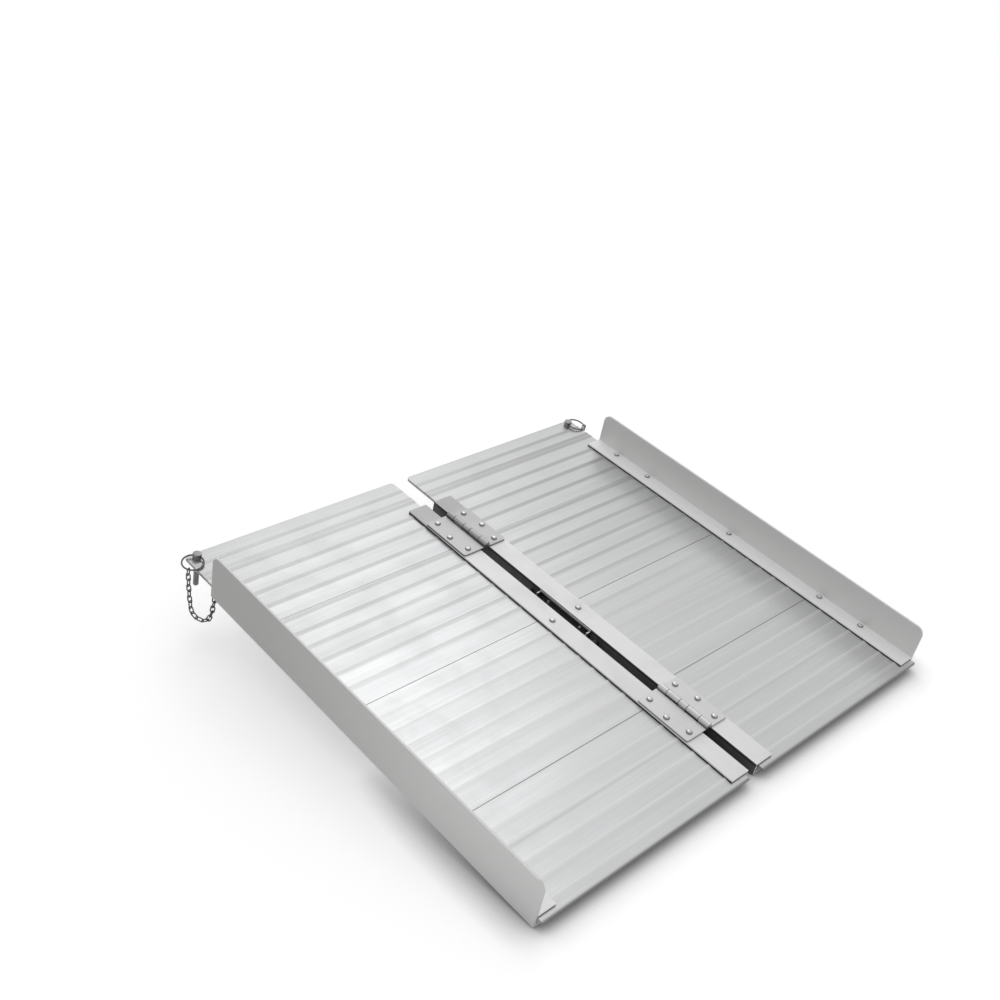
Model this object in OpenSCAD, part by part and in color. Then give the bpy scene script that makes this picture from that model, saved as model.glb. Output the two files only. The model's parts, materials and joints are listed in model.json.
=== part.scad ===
// Folding suitcase ramp: two ribbed aluminium panels joined by two hinges, opened out.
// Units are millimetres. X goes across the ramp, Y up the slope, Z up from the deck.
// The origin lies midway between the two lips, on their underside, where they rest on a step.

/* [Deck] */
// Width over the outer faces of both curbs
overall_w = 735; // [600:5:900]
// Length from the nose to the end of the lip
overall_l = 690; // [500:5:1500]
// Thickness of the lip
lip_t = 5; // [3:0.5:8]
// Thickness of the deck skin between the ribs
skin_t = 3; // [2:0.5:5]
// Depth of the ribs below the deck surface
rib_d = 12; // [8:1:25]
// Width of a single rib
rib_w = 5; // [3:0.5:8]
// Width of each rib of a pair
pair_w = 4.4; // [3:0.2:8]
// Height of the anti-slip ridges above the deck's flats
ridge_h = 0.7; // [0.3:0.1:1.5]
// Width of a ridge, which slopes up away from the nose and drops
ridge_w = 7.4; // [4:0.2:12]
// Inner edge of each deck, from the centre line
deck_in = 13.6; // [12:0.2:20]
// Radius of the lip's corners
lip_r = 7; // [2:1:15]

/* [Rails] */
// Sheet thickness of both rails
sheet = 3; // [2:0.5:4]
// First point of the rails, from the nose
rail_y0 = 8; // [0:1:20]
// Length of the lip beyond the rails
lip_reach = 72; // [50:1:120]
// Gap between the two inner rails
rail_gap = 15.8; // [12:0.2:20]
// Width of an inner rail's flanges
inner_w = 31.5; // [25:0.5:45]
// Width of an outer rail's upper flange, wall included
outer_top_w = 29.5; // [20:0.5:45]
// Width of an outer rail's lower flange, wall included
outer_low_w = 31.5; // [20:0.5:45]
// Height of the curb above the deck surface
curb_h = 52; // [30:1:80]
// Radius of the curb's upper corners
curb_r = 12; // [4:1:20]

/* [Hinges] */
// Length of a hinge leaf
leaf_l = 84; // [60:1:120]
// Width of a leaf on its flange
leaf_w = 30; // [20:1:40]
// Thickness of a leaf
leaf_t = 2.5; // [2:0.5:4]
// Outer diameter of the knuckles
barrel_d = 9; // [7:0.5:14]
// Diameter of the hinge pin
hinge_pin_d = 4.5; // [3:0.5:8]
// Middle of the hinge near the nose, from the rails' near end
hinge_near = 115; // [60:1:200]
// Middle of the hinge near the lip, from the rails' far end
hinge_far = 80; // [60:1:200]
// Offset of the hinge axis from the centre line
axis_x = 3.4; // [-4:0.1:4]
// Height of the hinge axis above the deck surface
axis_z = 8; // [7.5:0.1:12]

/* [Handle] */
// Middle of the handle beyond the middle of the rails
handle_shift = 27; // [-60:1:60]
// Overall length of the handle
handle_l = 138; // [110:1:170]
// Depth from the pivot to the outer edge of the grip
handle_d = 44; // [36:1:60]
// Width of the arms and of the grip
arm_w = 12; // [9:0.5:15]
// Thickness of the handle
handle_t = 11; // [8:0.5:13]
// Diameter of the pivot rod
rod_d = 5; // [3:0.5:8]
// Length of the bracket
bracket_l = 98; // [70:1:110]

/* [Locking pins] */
// Lip hole, in from the curb's outer face
hole_in = 16.5; // [12:0.5:30]
// Lip hole, in from the end of the lip
hole_end = 11; // [9:0.5:20]
// Diameter of the lip hole
hole_d = 9; // [7:0.5:12]
// Diameter of a pin's shank
shank_d = 7.6; // [6:0.2:10]
// Length of a pin's shank
shank_l = 46; // [30:1:70]
// Diameter of a pin's head
head_d = 12; // [9:0.5:16]
// Height of a pin's head
head_h = 8; // [6:0.5:12]
// Middle diameter of the pull ring
ring_d = 28.4; // [20:0.2:34]
// Wire diameter of the pull ring
ring_wire = 2.4; // [1.5:0.1:3]
// Length of a chain link outside
link_l = 13.2; // [8:0.2:16]
// Width of a chain link outside
link_w = 7.6; // [5:0.2:10]
// Wire diameter of a chain link
link_wire = 1.8; // [1:0.1:2.4]

/* [Fits] */
// Radial clearance of the hinge pins and of the pivot rod
run_fit = 0.06; // [0.02:0.01:0.1]
// Radial clearance of the rivets in their holes
rivet_fit = 0.05; // [0.02:0.01:0.1]
// Gap between neighbouring knuckles
knuckle_gap = 0.5; // [0.3:0.05:0.8]
// Gap of the seams between planks
seam_gap = 0.3; // [0.1:0.05:0.6]

/* [View] */
// Sub-part to draw

/* [Hidden] */
seat_y = overall_l - 35;               // the lips rest on a step on this line
rail_bottom = -rib_d - sheet;
half_w = overall_w / 2;
rail_y1 = overall_l - lip_reach;
bay_k = rail_y1 / 618;                 // ribs and seams keep their share of the rails
hinge_y1 = rail_y0 + hinge_near;
hinge_y2 = rail_y1 - hinge_far;
handle_y = (rail_y0 + rail_y1) / 2 + handle_shift;
hole_x = half_w - hole_in;
hole_y = overall_l - hole_end;
web_x = rail_gap / 2;
deck_out = half_w - sheet - 0.3;
leaf_z = sheet;                        // a leaf lies on the upper flange
barrel_r = barrel_d / 2;
hinge_pin_r = hinge_pin_d / 2;
shank_r = shank_d / 2;
head_r = head_d / 2;
guide_r = shank_r + 0.35;              // the shank is a little thicker inside the lip
guide_l = lip_t + 0.6;
seams_right = [0, 173 * bay_k, 349 * bay_k, 522 * bay_k, overall_l];
seams_left = [0, 152 * bay_k, 345 * bay_k, 522 * bay_k, overall_l];
pair_gap = pair_w + 0.4;               // a pair of ribs stands just past a seam
ribs = [
    [14.6, rib_w], [95 * bay_k, rib_w], [177.8 * bay_k, pair_w], [177.8 * bay_k + pair_gap, pair_w],
    [267 * bay_k, rib_w], [351.8 * bay_k, pair_w], [351.8 * bay_k + pair_gap, pair_w],
    [441 * bay_k, rib_w], [524.9 * bay_k, pair_w], [524.9 * bay_k + pair_gap, pair_w], [rail_y1 - 8, rib_w]
];
knuckles = [for (k = [0, 16, 36.5, 49.5, 70, 84]) k * leaf_l / 84];   // joints between knuckles
ridges_right = [15.5, 41, 66, 92.5, 118, 143.5, 201.5, 228, 253, 277.5, 302, 327,
    376, 404, 432, 461, 488, 516, 550.5, 579, 606];
ridges_left = [15.5, 41, 66, 92.5, 118, 184, 211, 238, 264.5, 291, 317.5,
    376, 404, 432, 461, 488, 516, 550.5, 579, 606];
lip_ridges = [54.5, 46.5, 25.5];       // from the end of the lip
tongue = 2;                            // depth of the tongue that joins two planks
flat_z = -ridge_h;
skin_z = -ridge_h - skin_t;
inner_rivet_in = 17;                   // rivets from the web's gap face
inner_rivet_out = 22.7;                // the middle one of each hinge's three
hinge_rivets_y = [-0.39 * leaf_l, 0, 0.4 * leaf_l];   // rivets along a leaf, from its middle
mid_rivet_y = 333 * bay_k;
outer_rivets_y = [rail_y0 + 81.6, rail_y0 + 154, mid_rivet_y, rail_y1 - 115, rail_y1 - 47];
outer_rivet_x = half_w - 11;
rivet_r = 2;
head_rivet_r = 4.5;
head_rivet_h = 2.8;
pivot_x = 0;
pivot_z = -8;
rod_r = rod_d / 2;
bracket_t = 1.5;
bracket_rivet_y = 0.31 * bracket_l;
bracket_top = 2;                       // top edge of the bracket's plate
bracket_low = -14;
grip_corner = 18;                      // outer corners of the handle
grip_inner = 9;
ear_t = 2;
ear_r = 5;
ring_turn = -36;                       // the ring lies towards the ramp's outer side
ring_tilt = 6;                         // and droops over the lip's edge
ring_r = ring_d / 2;
ring_far = [hole_x + ring_d * cos(ring_tilt) * cos(ring_turn),
    hole_y + ring_d * cos(ring_tilt) * sin(ring_turn)];
tab_hole = [half_w - 12.5, rail_y1 + 4.6];
tab_r = 4.6;
tab_rivet_y = rail_y1 - 2.6;
chain_turn = -117.25;
chain_start = ring_far;
chain_path = [                         // each hanging link: along the chain, height, slope
    [0, -3.25, -90], [0.3, -12.2, -86], [1, -21.2, -86], [1.7, -30.2, -85], [2.6, -39.1, -84],
    [3.7, -48.1, -82], [5, -57, -80], [7, -65.7, -74], [11.8, -72.9, -39], [19.8, -76, -4],
    [28.1, -74, 31], [33.8, -67.5, 66], [36.5, -59, 79], [38, -50.1, 82], [39.1, -41.2, 84],
    [40, -32.3, 85], [40.8, -23.3, 85], [41.2, -14.3, 90]
];
metal = [0.78, 0.79, 0.8];
bright = [0.88, 0.88, 0.89];
steel = [0.62, 0.62, 0.63];
black = [0.09, 0.09, 0.1];

function own(a, b) = [for (r = ribs) if (r[0] > a && r[0] < b) r];
function turn(a) = [cos(a), sin(a)];
function arc(c, r, a, b, n) = [for (i = [0 : n]) c + r * turn(a + (b - a) * i / n)];
function ridge(y) = [[y - ridge_w / 2, flat_z], [y + ridge_w / 2 - 1, 0],
    [y + ridge_w / 2 - 0.3, 0], [y + ridge_w / 2, flat_z]];
function spots(list) = concat([for (y = list) y * bay_k], [for (y = lip_ridges) overall_l - y]);
function top_line(a, b, list) = [for (y = spots(list)) if (y > a && y < b) for (p = ridge(y)) p];
function under_rib(r) = [[r[0] + r[1] / 2, skin_z], [r[0] + r[1] / 2, -rib_d],
    [r[0] - r[1] / 2, -rib_d], [r[0] - r[1] / 2, skin_z]];
function under_line(a, b) = let (o = own(a, b))
    [for (i = [len(o) - 1 : -1 : 0]) for (p = under_rib(o[i])) p];
function groove_side(a) = [[a, skin_z], [a, skin_z + 0.6], [a + tongue + 0.2, skin_z + 0.8],
    [a + tongue + 0.2, flat_z - 0.9], [a, flat_z - 0.7]];
function tongue_side(b) = [[b, flat_z - 0.9], [b + tongue, flat_z - 1.1], [b + tongue, skin_z + 1],
    [b, skin_z + 0.8], [b, skin_z]];
lip_grooves = [for (y = [overall_l - 7 : -5 : rail_y1]) y];
function lip_under() = [for (y = lip_grooves) for (p = [[y + 1.6, -lip_t], [y + 0.8, -lip_t + 0.5],
    [y - 0.8, -lip_t + 0.5], [y - 1.6, -lip_t]]) p];
function plank_start(a) = a == 0 ? [[12.1, skin_z], [12, -lip_t], [1.6, -lip_t], [0.3, -4.4], [0, -3.4],
    [0.4, -2], [1.6, -1.1], [4.5, flat_z]] : concat(groove_side(a), [[a, flat_z]]);
function plank_end(b) = b == overall_l ?
    concat([[b - 0.8, flat_z], [b, flat_z - 0.8], [b, -lip_t + 0.8], [b - 0.8, -lip_t]],
        lip_under(), [[rail_y1 - 4.5, -lip_t]]) :
    concat([[b - seam_gap, flat_z]], tongue_side(b - seam_gap));

module placed() translate([0, -seat_y, lip_t]) children();

module across(x0, x1) translate([x0, 0, 0]) rotate([90, 0, 90]) linear_extrude(x1 - x0) children();

module along(y0, y1) translate([0, y1, 0]) rotate([90, 0, 0]) linear_extrude(y1 - y0) children();

module side(s) {
    if (s > 0) children();
    else mirror([1, 0, 0]) children();
}

module upright(r, z0, z1, fn) translate([0, 0, z0]) cylinder(h = z1 - z0, r = r, $fn = fn);

module inner_spots(z) {
    for (h = [hinge_y1, hinge_y2]) for (i = [0 : 2])
        translate([web_x + (i == 1 ? inner_rivet_out : inner_rivet_in), h + hinge_rivets_y[i], z]) children();
    translate([web_x + inner_rivet_in, mid_rivet_y, z]) children();
}

module outer_spots() {
    for (y = outer_rivets_y) translate([outer_rivet_x, y, 0]) children();
}

module rivet_holes() {
    inner_spots(0) upright(rivet_r + rivet_fit, rail_bottom - 1, 9, 16);
    outer_spots() upright(rivet_r + rivet_fit, rail_bottom - 1, 9, 16);
}

module plank_shape(s, a, b) polygon(concat(plank_start(a), top_line(a, b, s > 0 ? ridges_right : ridges_left),
    plank_end(b), under_line(a, b)));

module lip_plan() {
    translate([deck_in, -20]) square([deck_out - deck_in, overall_l + 20 - lip_r]);
    translate([deck_in + lip_r, 0]) square([deck_out - deck_in - 2 * lip_r, overall_l]);
    for (x = [deck_in + lip_r, deck_out - lip_r])
        translate([x, overall_l - lip_r]) circle(r = lip_r, $fn = 32);
}

module plank(s, a, b) {
    color(metal) placed() side(s) difference() {
        intersection() {
            across(deck_in, deck_out) plank_shape(s, a, b);
            if (b == overall_l) translate([0, 0, -40]) linear_extrude(60) lip_plan();
            else translate([0, -20, -40]) cube([half_w, overall_l + 40, 60]);
        }
        rivet_holes();
        if (b == overall_l) translate([hole_x, hole_y, 0]) upright(hole_d / 2, -20, 10, 40);
    }
}

module inner_rail(s) {
    color(metal) placed() side(s) difference() {
        along(rail_y0, rail_y1) {
            translate([web_x, rail_bottom]) square([sheet, sheet * 2 + rib_d]);
            translate([web_x, 0]) square([inner_w, sheet]);
            translate([web_x, rail_bottom]) square([inner_w, sheet]);
        }
        rivet_holes();
        bracket_holes(s);
    }
}

module bracket_holes(s) {
    if (s > 0) for (k = [-bracket_rivet_y, bracket_rivet_y])
        translate([0, handle_y + k, -6]) rotate([0, 90, 0]) cylinder(h = 20, r = 1.6 + rivet_fit, $fn = 16);
}

module curb_plate() {
    translate([rail_y0, rail_bottom]) square([rail_y1 - rail_y0, curb_h - curb_r - rail_bottom]);
    translate([rail_y0 + curb_r, 0]) square([rail_y1 - rail_y0 - 2 * curb_r, curb_h]);
    for (y = [rail_y0 + curb_r, rail_y1 - curb_r])
        translate([y, curb_h - curb_r]) circle(r = curb_r, $fn = 48);
}

module outer_rail(s) {
    color(metal) placed() side(s) difference() {
        union() {
            across(half_w - sheet, half_w) curb_plate();
            along(rail_y0, rail_y1) {
                translate([half_w - outer_top_w, 0]) square([outer_top_w - 0.5, sheet]);
                translate([half_w - outer_low_w, rail_bottom]) square([outer_low_w - 0.5, sheet]);
            }
        }
        rivet_holes();
        tab_rivet_hole();
    }
}

module tab_rivet_hole() translate([tab_hole[0], tab_rivet_y, 0])
    upright(1.25 + rivet_fit, rail_bottom - 2, -4, 14);

module dome(r, h) rotate_extrude($fn = 16)
    polygon([[0, 0], [r, 0], [r * 0.94, h * 0.4], [r * 0.72, h * 0.78], [r * 0.38, h * 0.96], [0, h]]);

module rivet(z, r) {
    upright(rivet_r, rail_bottom, z, 16);
    translate([0, 0, z]) dome(r, head_rivet_h);
    translate([0, 0, rail_bottom]) rotate([180, 0, 0]) dome(r * 0.94, 1.4);
}

module inner_rivets(s) {
    color(bright) placed() side(s) {
        for (h = [hinge_y1, hinge_y2]) for (i = [0 : 2])
            translate([web_x + (i == 1 ? inner_rivet_out : inner_rivet_in), h + hinge_rivets_y[i], 0])
                rivet(leaf_z + leaf_t, head_rivet_r);
        translate([web_x + inner_rivet_in, mid_rivet_y, 0]) rivet(sheet, head_rivet_r);
    }
}

module outer_rivets(s) {
    color(bright) placed() side(s) outer_spots() rivet(sheet, head_rivet_r);
}

module knuckle(y0, y1, edge) {
    translate([axis_x, y1, axis_z]) rotate([90, 0, 0]) cylinder(h = y1 - y0, r = barrel_r, $fn = 32);
    translate([min(axis_x, edge), y0, axis_z - barrel_r])
        cube([abs(edge - axis_x), y1 - y0, leaf_z + leaf_t - axis_z + barrel_r]);
}

module leaf(s, mid) {
    y0 = mid - leaf_l / 2;
    inner = s > 0 ? axis_x + barrel_r + 0.5 : barrel_r + 0.5 - axis_x;
    mine = s > 0 ? [1, 3] : [0, 2, 4];
    color(bright) placed() difference() {
        union() {
            side(s) difference() {
                translate([inner, y0, leaf_z]) cube([web_x + leaf_w + 1 - inner, leaf_l, leaf_t]);
                for (y = [y0, y0 + leaf_l]) translate([web_x + leaf_w + 1, y, leaf_z - 1])
                    rotate([0, 0, 45]) cube([3, 3, 9], center = true);
            }
            for (k = mine) knuckle(y0 + knuckles[k] + (k == 0 ? 0 : knuckle_gap / 2),
                y0 + knuckles[k + 1] - (k == 4 ? 0 : knuckle_gap / 2), s * (inner + 0.3));
        }
        translate([axis_x, y0 + leaf_l + 5, axis_z]) rotate([90, 0, 0])
            cylinder(h = leaf_l + 10, r = hinge_pin_r + run_fit, $fn = 32);
        side(s) rivet_holes();
    }
}

module hinge_pin(mid) {
    color(steel) placed() translate([axis_x, mid + leaf_l / 2 - 0.8, axis_z]) rotate([90, 0, 0])
        cylinder(h = leaf_l - 1.6, r = hinge_pin_r, $fn = 32);
}

module handle_bracket() {
    color(bright) placed() translate([0, handle_y, 0]) difference() {
        union() {
            translate([web_x - bracket_t, -bracket_l / 2, bracket_low])
                cube([bracket_t, bracket_l, bracket_top - bracket_low]);
            for (y = [-bracket_l / 2, bracket_l / 2 - ear_t]) along(y, y + ear_t) {
                translate([pivot_x, pivot_z]) circle(r = ear_r, $fn = 32);
                translate([pivot_x, pivot_z - ear_r]) square([web_x - pivot_x, 2 * ear_r + 3]);
            }
        }
        translate([pivot_x, 80, pivot_z]) rotate([90, 0, 0]) cylinder(h = 160, r = rod_r + run_fit, $fn = 32);
        for (k = [-bracket_rivet_y, bracket_rivet_y]) translate([0, k, -6])
            rotate([0, 90, 0]) cylinder(h = 20, r = 1.6 + rivet_fit, $fn = 16);
    }
}

module bracket_rivets() {
    color(bright) placed() for (k = [-bracket_rivet_y, bracket_rivet_y]) translate([0, handle_y + k, -6]) {
        translate([web_x - bracket_t, 0, 0]) rotate([0, 90, 0])
            cylinder(h = bracket_t + sheet, r = 1.6, $fn = 16);
        translate([web_x - bracket_t - 1, 0, 0]) rotate([0, 90, 0]) cylinder(h = 1, r = 2.8, $fn = 16);
        translate([web_x + sheet, 0, 0]) rotate([0, 90, 0]) cylinder(h = 1.2, r = 2.6, $fn = 16);
    }
}

module handle_outer(k) {
    e = handle_l / 2 - k;
    c = handle_l / 2 - grip_corner;
    b = -handle_d + k;
    polygon(concat([[-e, 0]], arc([-c, -handle_d + grip_corner], grip_corner - k, 180, 270, 6),
        [[-0.6 * c, b - 1], [0, b - 1.4], [0.6 * c, b - 1]],
        arc([c, -handle_d + grip_corner], grip_corner - k, 270, 360, 6), [[e, 0]]));
    for (s = [-1, 1]) translate([s * (handle_l - arm_w) / 2, 0]) circle(r = arm_w / 2 - k, $fn = 32);
}

module handle_inner(k) {
    e = handle_l / 2 - arm_w + k;
    c = handle_l / 2 - arm_w - grip_inner + k;
    b = -handle_d + arm_w + 1 - k;
    polygon(concat([[-e, 20]], arc([-c, b + grip_inner], grip_inner, 180, 270, 5),
        [[-0.6 * c, b - 0.8], [0, b - 1.2], [0.6 * c, b - 0.8]],
        arc([c, b + grip_inner], grip_inner, 270, 360, 5), [[e, 20]]));
}

module handle_layer(k, t) rotate([90, 0, 90]) linear_extrude(t, center = true) difference() {
    handle_outer(k);
    handle_inner(k);
}

module handle_grip() {
    color(black) placed() translate([pivot_x, handle_y, pivot_z]) difference() {
        union() {
            handle_layer(0, handle_t - 4);
            handle_layer(0.8, handle_t - 1.8);
            handle_layer(2.2, handle_t);
        }
        translate([0, handle_l / 2 - 2, 0]) rotate([90, 0, 0])
            cylinder(h = handle_l - 4, r = rod_r + 0.02, $fn = 32);
    }
}

module handle_rod() {
    color(steel) placed() translate([pivot_x, handle_y + handle_l / 2 - 2.1, pivot_z]) rotate([90, 0, 0])
        cylinder(h = handle_l - 4.2, r = rod_r, $fn = 32);
}

module chain_tab(s) {
    color(steel) placed() side(s) translate([tab_hole[0], 0, -rib_d]) {
        difference() {
            linear_extrude(2) difference() {
                union() {
                    translate([-tab_r, rail_y1 - 5.1]) square([2 * tab_r, 9.1]);
                    translate([0, tab_hole[1] - 0.6]) circle(r = tab_r, $fn = 28);
                }
                translate([0, tab_hole[1]]) circle(r = 2.5, $fn = 24);
            }
            translate([0, tab_rivet_y, 0]) upright(1.25 + rivet_fit, -9, 5, 14);
        }
        translate([0, tab_rivet_y, 0]) {
            upright(1.25, -sheet, 2, 14);
            upright(2.2, 2, 2.9, 14);
            upright(2.2, -sheet - 0.9, -sheet, 14);
        }
    }
}

module link() {
    r = (link_w - link_wire) / 2;
    c = (link_l - link_w) / 2;
    for (a = [0, 180]) rotate([0, 0, a]) {
        translate([c, 0, 0]) rotate([0, 0, -90]) rotate_extrude(angle = 180, $fn = 14)
            translate([r, 0]) circle(d = link_wire, $fn = 6);
        translate([-c, r, 0]) rotate([90, 0, 90]) linear_extrude(2 * c) circle(d = link_wire, $fn = 6);
    }
}

module chain(s) {
    color(steel) placed() side(s) translate([chain_start[0], chain_start[1], 0]) rotate([0, 0, chain_turn])
        for (i = [0 : len(chain_path) - 1]) translate([chain_path[i][0], 0, chain_path[i][1]])
            rotate([0, -chain_path[i][2], 0]) rotate([i % 2 * 90, 0, 0]) link();
}

module pin_profile() polygon([
    [0, head_h], [head_r - 1.6, head_h], [head_r - 0.5, head_h - 0.5], [head_r, head_h - 1.6],
    [head_r, 0.8], [head_r - 0.8, 0], [guide_r, 0], [guide_r, -guide_l], [shank_r, -guide_l],
    [shank_r, -shank_l + 2.4], [shank_r - 1.6, -shank_l], [0, -shank_l]
]);

module pin(s) {
    color(steel) placed() side(s) translate([hole_x, hole_y, flat_z]) difference() {
        rotate_extrude($fn = 32) pin_profile();
        rotate([0, 0, ring_turn]) translate([0.45, 10, 4]) rotate([90, 0, 0])
            cylinder(h = 20, r = 2.45, $fn = 24);
    }
}

module ring(s) {
    color(steel) placed() side(s) translate([hole_x, hole_y, flat_z + 4])
        rotate([0, 0, ring_turn]) rotate([0, ring_tilt, 0]) translate([ring_r, 0, 0])
            rotate_extrude($fn = 40) translate([ring_r, 0]) circle(d = ring_wire, $fn = 14);
}

plank(1, seams_right[0], seams_right[1]);  // plank_right_1
plank(1, seams_right[1], seams_right[2]);  // plank_right_2
plank(1, seams_right[2], seams_right[3]);  // plank_right_3
plank(1, seams_right[3], seams_right[4]);  // plank_right_4
inner_rail(1);  // inner_rail_right
outer_rail(1);  // outer_rail_right
inner_rivets(1);  // inner_rivets_right
outer_rivets(1);  // outer_rivets_right
leaf(1, hinge_y1);  // leaf_right_near
leaf(1, hinge_y2);  // leaf_right_far
hinge_pin(hinge_y1);  // hinge_pin_near
hinge_pin(hinge_y2);  // hinge_pin_far
handle_bracket();
bracket_rivets();
chain_tab(1);  // chain_tab_right
chain(1);  // chain_right
plank(-1, seams_left[0], seams_left[1]);  // plank_left_1
plank(-1, seams_left[1], seams_left[2]);  // plank_left_2
plank(-1, seams_left[2], seams_left[3]);  // plank_left_3
plank(-1, seams_left[3], seams_left[4]);  // plank_left_4
inner_rail(-1);  // inner_rail_left
outer_rail(-1);  // outer_rail_left
inner_rivets(-1);  // inner_rivets_left
outer_rivets(-1);  // outer_rivets_left
leaf(-1, hinge_y1);  // leaf_left_near
leaf(-1, hinge_y2);  // leaf_left_far
chain_tab(-1);  // chain_tab_left
chain(-1);  // chain_left
handle_grip();
handle_rod();
pin(1);  // pin_right
ring(1);  // ring_right
pin(-1);  // pin_left
ring(-1);  // ring_left
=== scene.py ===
# Folding suitcase ramp, opened out, seen as in the photograph.
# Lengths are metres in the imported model's frame: X across, Y up the slope, Z up from the lip's underside.
import json
import math
import bmesh
import bpy
from mathutils import Matrix, Vector

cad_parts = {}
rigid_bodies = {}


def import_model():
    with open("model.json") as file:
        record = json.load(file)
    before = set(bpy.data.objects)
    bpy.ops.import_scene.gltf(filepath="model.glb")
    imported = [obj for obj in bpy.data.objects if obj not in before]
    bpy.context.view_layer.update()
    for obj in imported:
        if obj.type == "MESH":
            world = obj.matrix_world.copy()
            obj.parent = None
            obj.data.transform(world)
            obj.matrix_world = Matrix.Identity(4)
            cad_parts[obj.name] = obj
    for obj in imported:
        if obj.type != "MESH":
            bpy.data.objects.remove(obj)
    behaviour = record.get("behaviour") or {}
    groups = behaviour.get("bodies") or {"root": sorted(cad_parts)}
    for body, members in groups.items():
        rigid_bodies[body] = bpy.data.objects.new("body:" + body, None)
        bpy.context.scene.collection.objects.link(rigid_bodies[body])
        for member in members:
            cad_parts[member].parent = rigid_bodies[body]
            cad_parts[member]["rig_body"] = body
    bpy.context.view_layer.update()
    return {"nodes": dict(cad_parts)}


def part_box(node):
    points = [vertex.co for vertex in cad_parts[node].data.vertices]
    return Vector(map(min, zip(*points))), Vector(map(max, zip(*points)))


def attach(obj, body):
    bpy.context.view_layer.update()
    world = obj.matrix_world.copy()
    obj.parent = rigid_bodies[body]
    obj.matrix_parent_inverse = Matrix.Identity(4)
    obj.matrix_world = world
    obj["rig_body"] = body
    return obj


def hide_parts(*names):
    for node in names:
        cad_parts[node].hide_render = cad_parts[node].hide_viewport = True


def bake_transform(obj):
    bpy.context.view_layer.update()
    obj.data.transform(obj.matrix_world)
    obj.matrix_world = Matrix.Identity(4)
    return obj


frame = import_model()
nodes = frame["nodes"]
sides = {"right": 1, "left": -1}

# Sizes that the pieces share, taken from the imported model
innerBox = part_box("inner_rail_right")
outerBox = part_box("outer_rail_right")
leafBoxes = [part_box("leaf_right_near"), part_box("leaf_right_far")]
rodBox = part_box("handle_rod")
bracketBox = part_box("handle_bracket")
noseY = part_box("plank_right_1")[0].y
seamsY = {side: [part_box(f"plank_{side}_{number}")[0].y for number in (2, 3, 4)] for side in sides}
webX = innerBox[0].x
sheet = 0.003
leafSheet = 0.0025
bracketSheet = 0.0015
knuckleJoints = (0.190, 0.435, 0.589, 0.833)   # shares of a leaf's length
deckZ = 0.005                              # the ridges' tops
flatZ = 0.0043                             # the deck between the ridges
flangeX = (webX + 0.0315, outerBox[1].x - 0.0295)   # free edges of the rails' upper flanges
print("frame loaded:", len(nodes), "nodes")


# Small helpers for objects and meshes
def linkObject(name, data):
    thing = bpy.data.objects.new(name, data)
    bpy.context.scene.collection.objects.link(thing)
    return thing


def meshFrom(bm, name):
    mesh = bpy.data.meshes.new(name)
    bm.to_mesh(mesh)
    bm.free()
    return mesh


def applyModifiers(thing):
    graph = bpy.context.evaluated_depsgraph_get()
    shaped = thing.evaluated_get(graph)
    mesh = bpy.data.meshes.new_from_object(shaped, preserve_all_data_layers=True, depsgraph=graph)
    thing.modifiers.clear()
    return mesh


# Camera, at the photograph's angle
photoView = {
    "place": (-1.08709, -1.09848, 1.08413),
    "forward": (0.62531, 0.53572, -0.56744),
    "up": (0.28525, 0.51991, 0.80518),
    "lens": 45.87,
}


def makeCamera():
    data = bpy.data.cameras.new("photoCamera")
    data.lens = photoView["lens"]
    data.sensor_width = 36
    data.clip_start, data.clip_end = 0.05, 60
    camera = linkObject("photoCamera", data)
    forward, up = Vector(photoView["forward"]), Vector(photoView["up"])
    turn = Matrix((forward.cross(up), up, -forward)).transposed()
    camera.matrix_world = Matrix.Translation(photoView["place"]) @ turn.to_4x4()
    bpy.context.scene.camera = camera


makeCamera()
print("camera placed")


# Small helpers for node trees; a tone is how much of a colour goes over the one below, and that colour
def addNode(tree, kind, inputs=None, **settings):
    node = tree.nodes.new(kind)
    for key, value in settings.items():
        setattr(node, key, value)
    for key, value in (inputs or {}).items():
        if isinstance(value, bpy.types.NodeSocket):
            tree.links.new(value, node.inputs[key])
        else:
            node.inputs[key].default_value = value
    return node


def mathNode(tree, operation, first, second=0.0):
    return addNode(tree, "ShaderNodeMath", {0: first, 1: second}, operation=operation).outputs[0]


def product(tree, *factors):
    result = factors[0]
    for factor in factors[1:]:
        result = mathNode(tree, "MULTIPLY", result, factor)
    return result


def scaleAndAdd(tree, value, scale, added):
    inputs = {0: value, 1: scale, 2: added}
    return addNode(tree, "ShaderNodeMath", inputs, operation="MULTIPLY_ADD").outputs[0]


def rampNode(tree, value, low, high):
    return addNode(tree, "ShaderNodeMapRange", {
        "Value": value, "From Min": low, "From Max": high, "To Min": 0.0, "To Max": 1.0,
    }, interpolation_type="SMOOTHSTEP").outputs[0]


def rampFrom(tree, value, start, distances):
    return rampNode(tree, value, start + distances[0], start + distances[1])


def bandNode(tree, value, low, high, soft):
    rising = rampNode(tree, value, low - soft, low + soft)
    return mathNode(tree, "MULTIPLY", rising, rampNode(tree, value, high + soft, high - soft))


def mixColour(tree, amount, first, second):
    return addNode(tree, "ShaderNodeMix", {0: amount, 6: first, 7: second}, data_type="RGBA").outputs[2]


def tint(tree, mask, colour, tone):
    amount, shade = tone
    return mixColour(tree, mathNode(tree, "MULTIPLY", mask, amount), colour, shade)


def grey(value):
    return (value, value, value, 1)


def namedValue(tree, name, kind):
    return addNode(tree, "GeometryNodeInputNamedAttribute", {"Name": name}, data_type=kind).outputs[0]


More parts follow.
